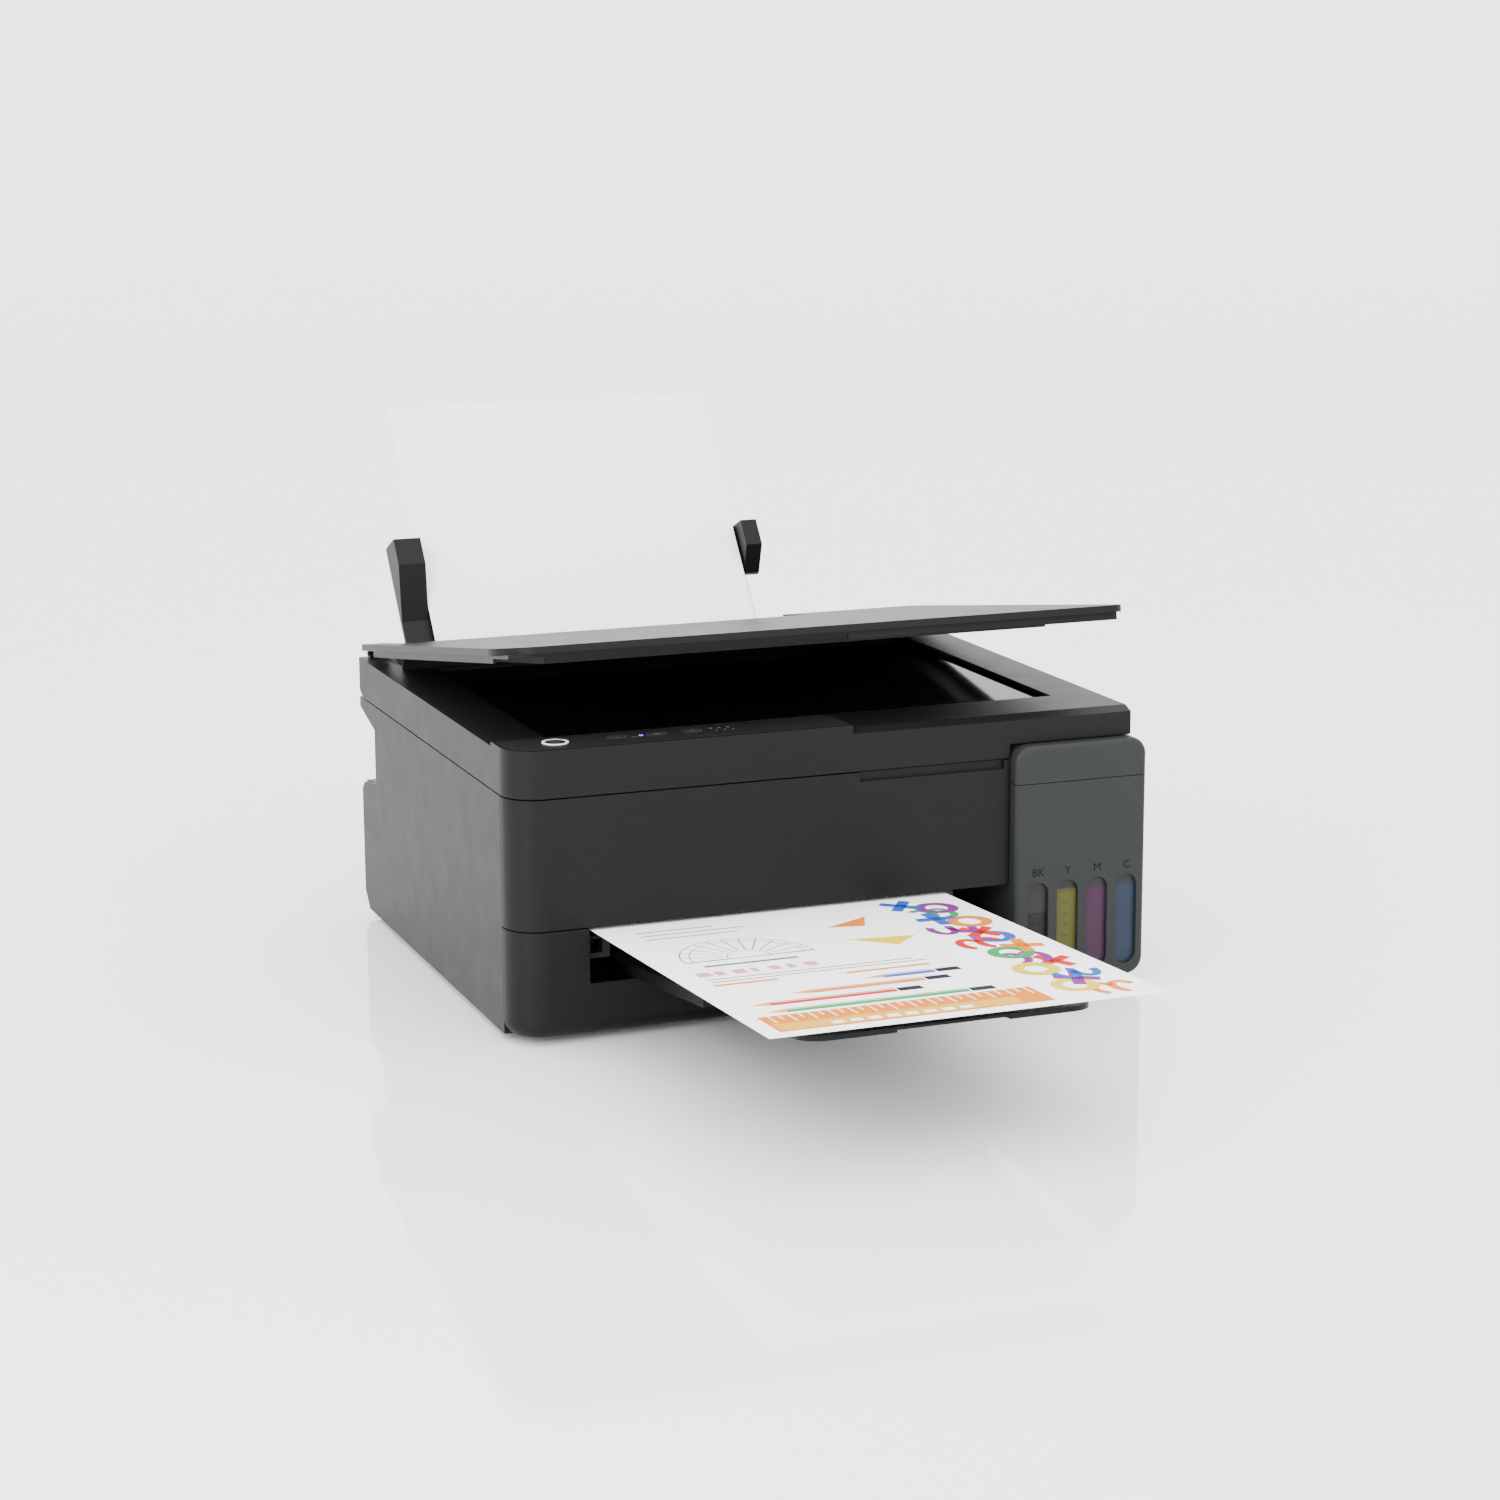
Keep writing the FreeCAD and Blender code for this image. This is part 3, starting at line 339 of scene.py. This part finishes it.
PRINT_THICK = 0.04 * MM
LIGHT_THICK = 0.08 * MM
POWER_ARC_RADIUS = 2.2 * MM
POWER_ARC_WIDTH = 0.45 * MM
POWER_BAR_WIDE = 0.5 * MM
POWER_BAR_TALL = 2.4 * MM
POWER_BAR_RISE = 0.4 * MM
OVAL_INSET = 1.4 * MM
OVAL_HALF_DEEP = 2.6 * MM
OVAL_LINE = 0.28 * MM
STOP_ARM_HALF = 1.5 * MM
STOP_LINE_HALF = 0.16 * MM
WIFI_PITCH = 0.7
WIFI_DROP = 1.0 * MM
WIFI_LINE = 0.3 * MM
COPY_WIDE = 1.2 * MM
COPY_TALL = 1.8 * MM
COPY_DROP = 1.1 * MM
STRIP_ROW = 4 * MM
SPOT_GAP = 1.6 * MM
SPOT_HALF_WIDE = 1.3 * MM
SPOT_HALF_DEEP = 1.6 * MM
DASH_GAP = 8.2 * MM
DASH_DROP = 3.2 * MM
DASH_WIDE = 3.4 * MM
DASH_DEEP = 0.8 * MM
MARK_GAP = 5 * MM
MARK_PITCH = 5
DROP_RISE = 3.4 * MM
DROP_HALF_WIDE = 0.9 * MM
DROP_HALF_DEEP = 1.3 * MM
SLASH_LOW = 4 * MM
SLASH_HIGH = 1 * MM
SLASH_WIDE = 0.7 * MM
SLASH_LEAN = 1.7 * MM


def on_top(level):
    return lambda a, b, lift: Vector((a, b, level + lift))


def button_marks():
    """Symbols printed on the buttons, and the ovals drawn round them."""
    pale = printed_ink("symbol ink", (0.14, 0.14, 0.143))
    low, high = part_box("power_button")
    centre = (low + high) / 2
    top = on_top(high.z)
    arc = ring_outline(centre.x, centre.y, POWER_ARC_RADIUS, POWER_ARC_RADIUS, POWER_ARC_WIDTH,
                       start=120, sweep=300)
    band("power_arc", arc, top, PRINT_THICK, pale, "power_button")
    bar = rectangle(centre.x - POWER_BAR_WIDE / 2, centre.y + POWER_BAR_RISE, POWER_BAR_WIDE, POWER_BAR_TALL)
    prism("power_bar", bar, top, PRINT_THICK, pale, "power_button")
    for node in ("wifi_button", "copy_button", "stop_button"):
        low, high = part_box(node)
        centre = (low + high) / 2
        top = on_top(high.z)
        half_wide = (high.x - low.x) / 2 - OVAL_INSET
        oval = ring_outline(centre.x, centre.y, half_wide, OVAL_HALF_DEEP, OVAL_LINE)
        band(node + "_oval", oval, top, PRINT_THICK, pale, node)
        mark_button(node, centre, top, pale)


def mark_button(node, centre, top, ink):
    """The symbol on one oval button: waves, two sheets or a cross."""
    if node == "wifi_button":
        for step in range(3):
            radius = WIFI_PITCH * (1 + step) * MM
            arc = ring_outline(centre.x, centre.y - WIFI_DROP, radius, radius, WIFI_LINE, start=45, sweep=90)
            band("wifi_arc_%d" % step, arc, top, PRINT_THICK, ink, node)
    elif node == "copy_button":
        for shift in (-0.9, 0.5):
            sheet = rectangle(centre.x + shift * MM, centre.y - COPY_DROP, COPY_WIDE, COPY_TALL)
            prism("copy_sheet_%d" % (shift > 0), sheet, top, PRINT_THICK, ink, node)
    else:
        for angle in (35, -35):
            lean = math.radians(angle)
            arm = Vector((math.cos(lean), math.sin(lean))) * STOP_ARM_HALF
            side = Vector((-math.sin(lean), math.cos(lean))) * STOP_LINE_HALF
            middle = Vector((centre.x, centre.y))
            arm_outline = slanted_bar(middle, arm, side)
            prism("stop_arm_%d" % angle, arm_outline, top, PRINT_THICK, ink, node)


def status_lights():
    """Small lights and symbols on the strip between and beside the buttons."""
    top = on_top(PANEL_HIGH.z)
    blue = lit("status light", (0.05, 0.16, 1.0), 2.2)
    dim = printed_ink("strip ink", (0.11, 0.11, 0.112))
    copy_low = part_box("copy_button")[0]
    row = copy_low.y + STRIP_ROW
    spot = disc(copy_low.x - SPOT_GAP, row, SPOT_HALF_WIDE, SPOT_HALF_DEEP)
    prism("status_light", spot, top, LIGHT_THICK, blue, "scanner_unit")
    dash = rectangle(copy_low.x - DASH_GAP, row - DASH_DROP, DASH_WIDE, DASH_DEEP)
    prism("strip_dash", dash, top, PRINT_THICK, dim, "scanner_unit")
    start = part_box("stop_button")[1].x + MARK_GAP
    for step in range(3):
        left = start + step * MARK_PITCH * MM
        drop = disc(left, row + DROP_RISE, DROP_HALF_WIDE, DROP_HALF_DEEP, steps=12)
        prism("drop_mark_%d" % step, drop, top, PRINT_THICK, dim, "scanner_unit")
        low_edge, high_edge = row - SLASH_LOW, row - SLASH_HIGH
        slash = [(left, low_edge), (left + SLASH_WIDE, low_edge),
                 (left + SLASH_LEAN + SLASH_WIDE, high_edge), (left + SLASH_LEAN, high_edge)]
        prism("slash_mark_%d" % step, slash, top, PRINT_THICK, dim, "scanner_unit")


# ---- tank unit ----------------------------------------------------------------------------------

CODE_SIZE = 6.4 * MM
CODE_HEIGHT = 63.6 * MM
CODE_PROUD = 0.05 * MM
LEVEL_MARKS = 7
LEVEL_START = 13
LEVEL_PITCH = 6.6
LEVEL_LINE = 0.35 * MM


def tank_letters():
    """The usual one- or two-letter ink codes above the windows."""
    ink = printed_ink("code ink", (0.003, 0.003, 0.003))
    for name, (code, _, _) in INKS.items():
        low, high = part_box("ink_tank_" + name)
        words = bpy.data.curves.new("code_" + name, "FONT")
        words.body = code
        words.size = CODE_SIZE
        words.align_x = "CENTER"
        words.extrude = 0.02 * MM
        thing = bpy.data.objects.new("code_" + name, words)
        bpy.context.scene.collection.objects.link(thing)
        place = ((low.x + high.x) / 2, TANK_LOW.y - CODE_PROUD, TANK_LOW.z + CODE_HEIGHT)
        thing.matrix_world = Matrix.Translation(place) @ Matrix.Rotation(math.pi / 2, 4, "X")
        words.materials.append(ink)
        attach(thing, "case")


def window_scales():
    """Level marks moulded on the front wall of every tank, seen in its window."""
    ink = printed_ink("level mark", (0.03, 0.03, 0.032))
    for name in INKS:
        low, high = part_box("ink_tank_" + name)
        middle = (low.x + high.x) / 2
        for step in range(LEVEL_MARKS):
            height = TANK_LOW.z + (LEVEL_START + LEVEL_PITCH * step) * MM
            long_mark = step in (0, LEVEL_MARKS - 1)
            width = (9 if long_mark else 4) * MM
            mark = rectangle(middle - width / 2, height, width, LEVEL_LINE)
            front = low.y

            def on_cell(a, b, lift, front=front):
                return Vector((a, front - lift, b))
            prism("level_%s_%d" % (name, step), mark, on_cell, 0.06 * MM, ink, "case")


# ---- printed page ------------------------------------------------------------------------------

PAGE_THICK = 0.3 * MM
INK_LIFT = 0.03 * MM
INK_LAYER = 0.05 * MM
PRINT_SHADE = 0.68
PAGE_RISE = math.atan2(PAGE_HIGH.z - PAGE_LOW.z - PAGE_THICK, PAGE_HIGH.y - PAGE_LOW.y)
PAGE_OUT = Vector((0, -math.cos(PAGE_RISE), math.sin(PAGE_RISE)))
PAGE_UP = Vector((0, math.sin(PAGE_RISE), math.cos(PAGE_RISE)))


def on_page(a, b, lift):
    """a across from the left edge and b back from the front edge, in metres."""
    corner = Vector((PAGE_LOW.x, PAGE_LOW.y, PAGE_HIGH.z))
    return corner + Vector((a, 0, 0)) - PAGE_OUT * b + PAGE_UP * (lift + INK_LIFT)


def print_shape(name, outline, ink, layer=1):
    """A printed patch; outline in millimetres on the page, a higher layer lies on top."""
    scaled = [(a * MM, b * MM) for a, b in outline]
    prism(name, scaled, on_page, layer * INK_LAYER, ink, "printed_page")


def print_band(name, outline, ink, layer=1):
    scaled = [(a * MM, b * MM) for a, b in outline]
    band(name, scaled, on_page, layer * INK_LAYER, ink, "printed_page")


def page_inks():
    colors = {
        "orange": (0.95, 0.28, 0.02), "amber": (1.0, 0.52, 0.08), "red": (0.8, 0.03, 0.03),
        "green": (0.02, 0.42, 0.1), "blue": (0.03, 0.14, 0.62), "purple": (0.27, 0.04, 0.3),
        "yellow": (0.98, 0.75, 0.02), "grey": (0.2, 0.2, 0.21), "rose": (0.95, 0.45, 0.4),
        "dark": (0.03, 0.03, 0.05), "pale": (0.9, 0.75, 0.7),
    }
    return {name: printed_ink("print " + name, shade(color, PRINT_SHADE)) for name, color in colors.items()}


def page_ruler(ink):
    """Orange ruler along the front of the page, with white graduations."""
    white = printed_ink("print white", (0.93, 0.93, 0.92))
    left, front, length, depth = 9, 9, 144, 31
    first_mark, mark_pitch, mark_wide, mark_back = 14, 5.2, 0.8, 39.5
    first_word, word_pitch, word_wide, word_deep = 38, 9.6, 6.4, 5
    print_shape("ruler", rectangle(left, front, length, depth), ink["orange"])
    print_shape("ruler_face", rectangle(left + 2, front + 2, 126, 13), ink["amber"], 2)
    for step in range(27):
        tall = 13 if step % 2 == 0 else 8
        mark = rectangle(first_mark + step * mark_pitch, mark_back - tall, mark_wide, tall)
        print_shape("ruler_mark_%d" % step, mark, white, 3)
    for step in range(8):
        word = rectangle(first_word + step * word_pitch, front + 4, word_wide, word_deep)
        print_shape("ruler_word_%d" % step, word, white, 3)


def page_pencils(ink):
    """Coloured pencils laid across the page: point, body and dark end."""
    rows = (("green", 16, 44, 122), ("red", 14, 60, 92), ("orange", 42, 76, 86), ("blue", 87, 90, 53))
    thick, tip_length, end_length = 7, 11, 13
    for name, left, depth, length in rows:
        body, body_length = left + tip_length, length - 25
        tip = [(left, depth + thick / 2), (body, depth), (body, depth + thick)]
        print_shape("pencil_tip_" + name, tip, ink["amber"])
        print_shape("pencil_" + name, rectangle(body, depth, body_length, thick), ink[name])
        shine = rectangle(body, depth + 4.4, body_length, 1.2)
        print_shape("pencil_shine_" + name, shine, ink["pale"], 2)
        end = rectangle(left + length - end_length, depth, end_length, thick)
        print_shape("pencil_end_" + name, end, ink["dark"])


def page_lines(ink):
    """Rows of plain bars that stand in for text, with a heading in orange."""
    print_shape("notice", rectangle(14, 110, 34, 3.2), ink["orange"])
    print_shape("second_notice", rectangle(84, 107, 46, 3.2), ink["orange"])
    for row, length in enumerate((118, 112)):
        print_shape("text_row_%d" % row, rectangle(15, 118 + row * 6, length, 1.5), ink["grey"])
    for step, wide in enumerate((9, 6, 8, 4, 7, 5, 8)):
        print_shape("heading_%d" % step, rectangle(14 + step * 9.8, 132, wide * 0.85, 9), ink["rose"])
    for row in range(3):
        print_shape("upper_row_%d" % row, rectangle(18, 226 + row * 9, (52, 60, 44)[row], 1.6), ink["grey"])


def page_protractor(ink):
    """Fine half-circle diagram with spokes in the left half of the page."""
    across, along = 54, 166
    stretch = 1.25
    spoke_from, spoke_to, spoke_half = 14, 35, 0.35
    middle = Vector((across, along))
    for radius, width in ((36, 0.7), (31, 0.5), (12, 0.6)):
        outline = ring_outline(across, along, radius, radius * stretch, width, start=0, sweep=180)
        print_band("dial_ring_%d" % radius, outline, ink["grey"])
    for step in range(13):
        angle = math.radians(15 * step)
        way = Vector((math.cos(angle), stretch * math.sin(angle)))
        side = Vector((-math.sin(angle), math.cos(angle))) * spoke_half
        start = middle + way * spoke_from
        end = middle + way * spoke_to
        corners = (start - side, end - side, end + side, start + side)
        print_shape("dial_spoke_%d" % step, [tuple(corner) for corner in corners], ink["grey"])
    print_shape("dial_base", rectangle(18, 164.6, 72, 1.4), ink["grey"])
    print_shape("dial_caption", rectangle(24, 152, 52, 3.4), ink["grey"])
    print_shape("wedge_orange", [(116, 212), (136, 207), (145, 229)], ink["orange"])
    print_shape("wedge_yellow", [(114, 180), (151, 174), (134, 157)], ink["yellow"])


def page_toys(ink):
    """A trail of fat rings, arcs and bars in mixed colours down the right side."""
    trail = ("orange", "yellow", "purple", "blue", "yellow", "red", "purple", "green", "orange", "red",
             "blue", "red", "purple", "orange", "blue", "green", "purple", "blue")
    first, pitch, middle_line, sway = 20, 13.2, 182, 9
    ring_wide, ring_deep, ring_line = 12, 14, 6
    arc_wide, arc_deep, arc_line, arc_shift = 8, 13, 4.6, 5.5
    for step, name in enumerate(trail):
        along = first + step * pitch
        across = middle_line + sway * math.cos(step * 2.4)
        layer = 2 + step % 5
        if step % 3 == 1:
            outline = ring_outline(across, along, ring_wide, ring_deep, ring_line)
            print_band("toy_ring_%d" % step, outline, ink[name], layer)
        elif step % 3 == 0:
            for shift in (-arc_shift, arc_shift):
                outline = ring_outline(across + shift, along, arc_wide, arc_deep, arc_line,
                                       start=20 + 40 * step, sweep=230)
                print_band("toy_arc_%d_%d" % (step, shift > 0), outline, ink[name], layer)
        else:
            for turn in (30, 120):
                lean = math.radians(turn + 17 * step)
                arm = Vector((11 * math.cos(lean), 15 * math.sin(lean)))
                side = Vector((-3.1 * math.sin(lean), 3.6 * math.cos(lean)))
                middle = Vector((across, along))
                outline = slanted_bar(middle, arm, side)
                print_shape("toy_bar_%d_%d" % (step, turn), outline, ink[name], layer)


def page_print():
    ink = page_inks()
    page_ruler(ink)
    page_pencils(ink)
    page_lines(ink)
    page_protractor(ink)
    page_toys(ink)


# ---- studio ------------------------------------------------------------------------------------

FLOOR_REACH = 14
SKY_STRENGTH = 3.4

# Solved once from points in the photograph. Assumed in it: a case 375 mm wide, sheets 210 mm wide,
# and a control strip 160 mm above the case's underside.
CAMERA_PLACE = (-0.68716, -1.82083, 0.53905)
CAMERA_HEADING = math.radians(20.95)
CAMERA_DROP = math.radians(12.18)
CAMERA_ROLL = math.radians(-0.28)
CAMERA_LENS = 80.3
CAMERA_SENSOR = 36

def floor():
    """Pale glossy floor that runs far behind the printer."""
    shader = Shader("studio floor")
    tone = shader.between(shader.noise(scale=0.6), (0.86, 0.86, 0.865), (0.9, 0.9, 0.9))
    shader.feed("Base Color", tone)
    shader.fix("Roughness", 0.06)
    shader.fix("IOR", 1.5)
    mesh = bpy.data.meshes.new("floor")
    signs = ((-1, -1), (1, -1), (1, 1), (-1, 1))
    corners = [(a * FLOOR_REACH, b * FLOOR_REACH, 0) for a, b in signs]
    mesh.from_pydata(corners, [], [(0, 1, 2, 3)])
    thing = bpy.data.objects.new("floor", mesh)
    bpy.context.scene.collection.objects.link(thing)
    mesh.materials.append(shader.material)


def softbox(name, place, target, wide, tall, power):
    light = bpy.data.lights.new(name, "AREA")
    light.shape = "RECTANGLE"
    light.size = wide
    light.size_y = tall
    light.energy = power
    thing = bpy.data.objects.new(name, light)
    thing.location = place
    thing.rotation_euler = (Vector(target) - Vector(place)).to_track_quat("-Z", "Y").to_euler()
    bpy.context.scene.collection.objects.link(thing)


def studio():
    world = bpy.data.worlds.new("studio")
    world.use_nodes = True
    sky = world.node_tree.nodes["Background"]
    sky.inputs["Color"].default_value = (1, 1, 1, 1)
    sky.inputs["Strength"].default_value = SKY_STRENGTH
    bpy.context.scene.world = world
    softbox("top box", (0.1, -0.2, 1.9), (0, 0, 0.1), 1.6, 1.2, 14)
    softbox("left strip", (-1.25, -1.1, 0.7), (-0.18, -0.15, 0.08), 0.25, 1.0, 16)
    softbox("front fill", (0.6, -2.2, 1.2), (0, 0, 0.1), 1.2, 0.8, 8)


def camera():
    """The viewpoint: front left, about 12 degrees above the desk."""
    data = bpy.data.cameras.new("camera")
    data.sensor_width = CAMERA_SENSOR
    data.lens = CAMERA_LENS
    thing = bpy.data.objects.new("camera", data)
    aim = Matrix.Rotation(-CAMERA_HEADING, 4, "Z") @ Matrix.Rotation(math.pi / 2 - CAMERA_DROP, 4, "X")
    thing.matrix_world = Matrix.Translation(CAMERA_PLACE) @ aim @ Matrix.Rotation(CAMERA_ROLL, 4, "Z")
    bpy.context.scene.collection.objects.link(thing)
    bpy.context.scene.camera = thing


dress_frame()
button_marks()
status_lights()
tank_letters()
window_scales()
page_print()
floor()
studio()
camera()
